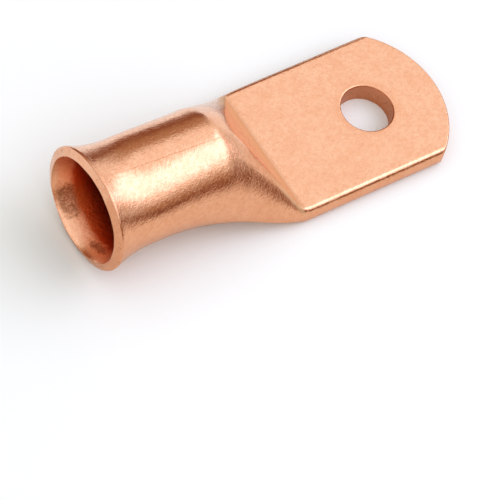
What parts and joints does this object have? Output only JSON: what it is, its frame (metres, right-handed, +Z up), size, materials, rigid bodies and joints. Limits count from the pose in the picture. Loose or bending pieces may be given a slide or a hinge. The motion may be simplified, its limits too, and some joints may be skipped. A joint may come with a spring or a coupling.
{
  "type": "copper cable lug",
  "caption": "Copper tube cable lug: round barrel with a flared bell mouth, a sloping pressed neck, and a flat palm with a stud hole and an arc-cut end.",
  "frame": {"origin": "centre of the stud hole, on the underside of the palm", "axes": "+X along the lug from the bell mouth towards the palm's arc-cut end, +Y across the palm, +Z up out of the palm on the side that the barrel rises from"},
  "size_m": [0.0439, 0.0162, 0.0132],
  "materials": {
    "bare_copper": "bare, unplated drawn copper with a soft tumbled polish"
  },
  "bodies": {
    "root": {"lug": "bare_copper"}
  },
  "joints": []
}
